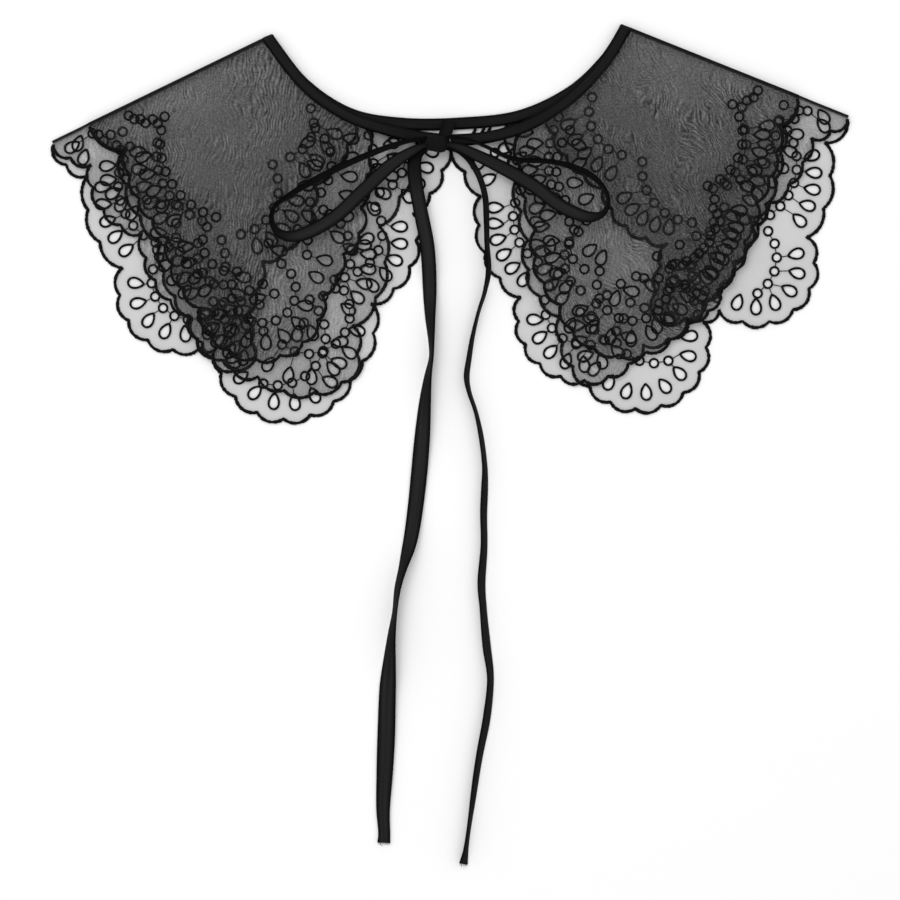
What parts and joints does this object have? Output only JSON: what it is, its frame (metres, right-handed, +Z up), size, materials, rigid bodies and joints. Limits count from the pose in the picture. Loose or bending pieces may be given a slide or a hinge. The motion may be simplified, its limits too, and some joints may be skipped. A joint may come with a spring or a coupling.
{
  "type": "lace collar",
  "caption": "Scalloped tiers of embroidered organza laid flat, folded at the shoulders, on a narrow bound neckband tied with a tape bow and long free ends.",
  "frame": {"origin": "on the surface that the collar lies on, below the middle of its outline in plan, the free ends of the tie left out", "axes": "+X from the folded wing on the picture's left to the one on its right, +Y from the scalloped front towards the neck, +Z up from the surface"},
  "size_m": [0.4376, 0.4627, 0.0129],
  "materials": {
    "organza_lower": "sheer black organza with black embroidery, soft satin sheen",
    "organza_upper": "sheer black organza with black embroidery, soft satin sheen",
    "band_tape": "black bias binding, matt with a faint sheen",
    "bow_tape": "black woven tape, satin"
  },
  "bodies": {
    "root": {"upper_tier_left": "organza_upper", "upper_tier_right": "organza_upper", "lower_tier_left": "organza_lower", "lower_tier_right": "organza_lower", "neckband": "band_tape", "bow_knot": "bow_tape", "bow_loop_left": "bow_tape", "bow_loop_right": "bow_tape", "tie_end_left": "bow_tape", "tie_end_right": "bow_tape"}
  },
  "joints": []
}
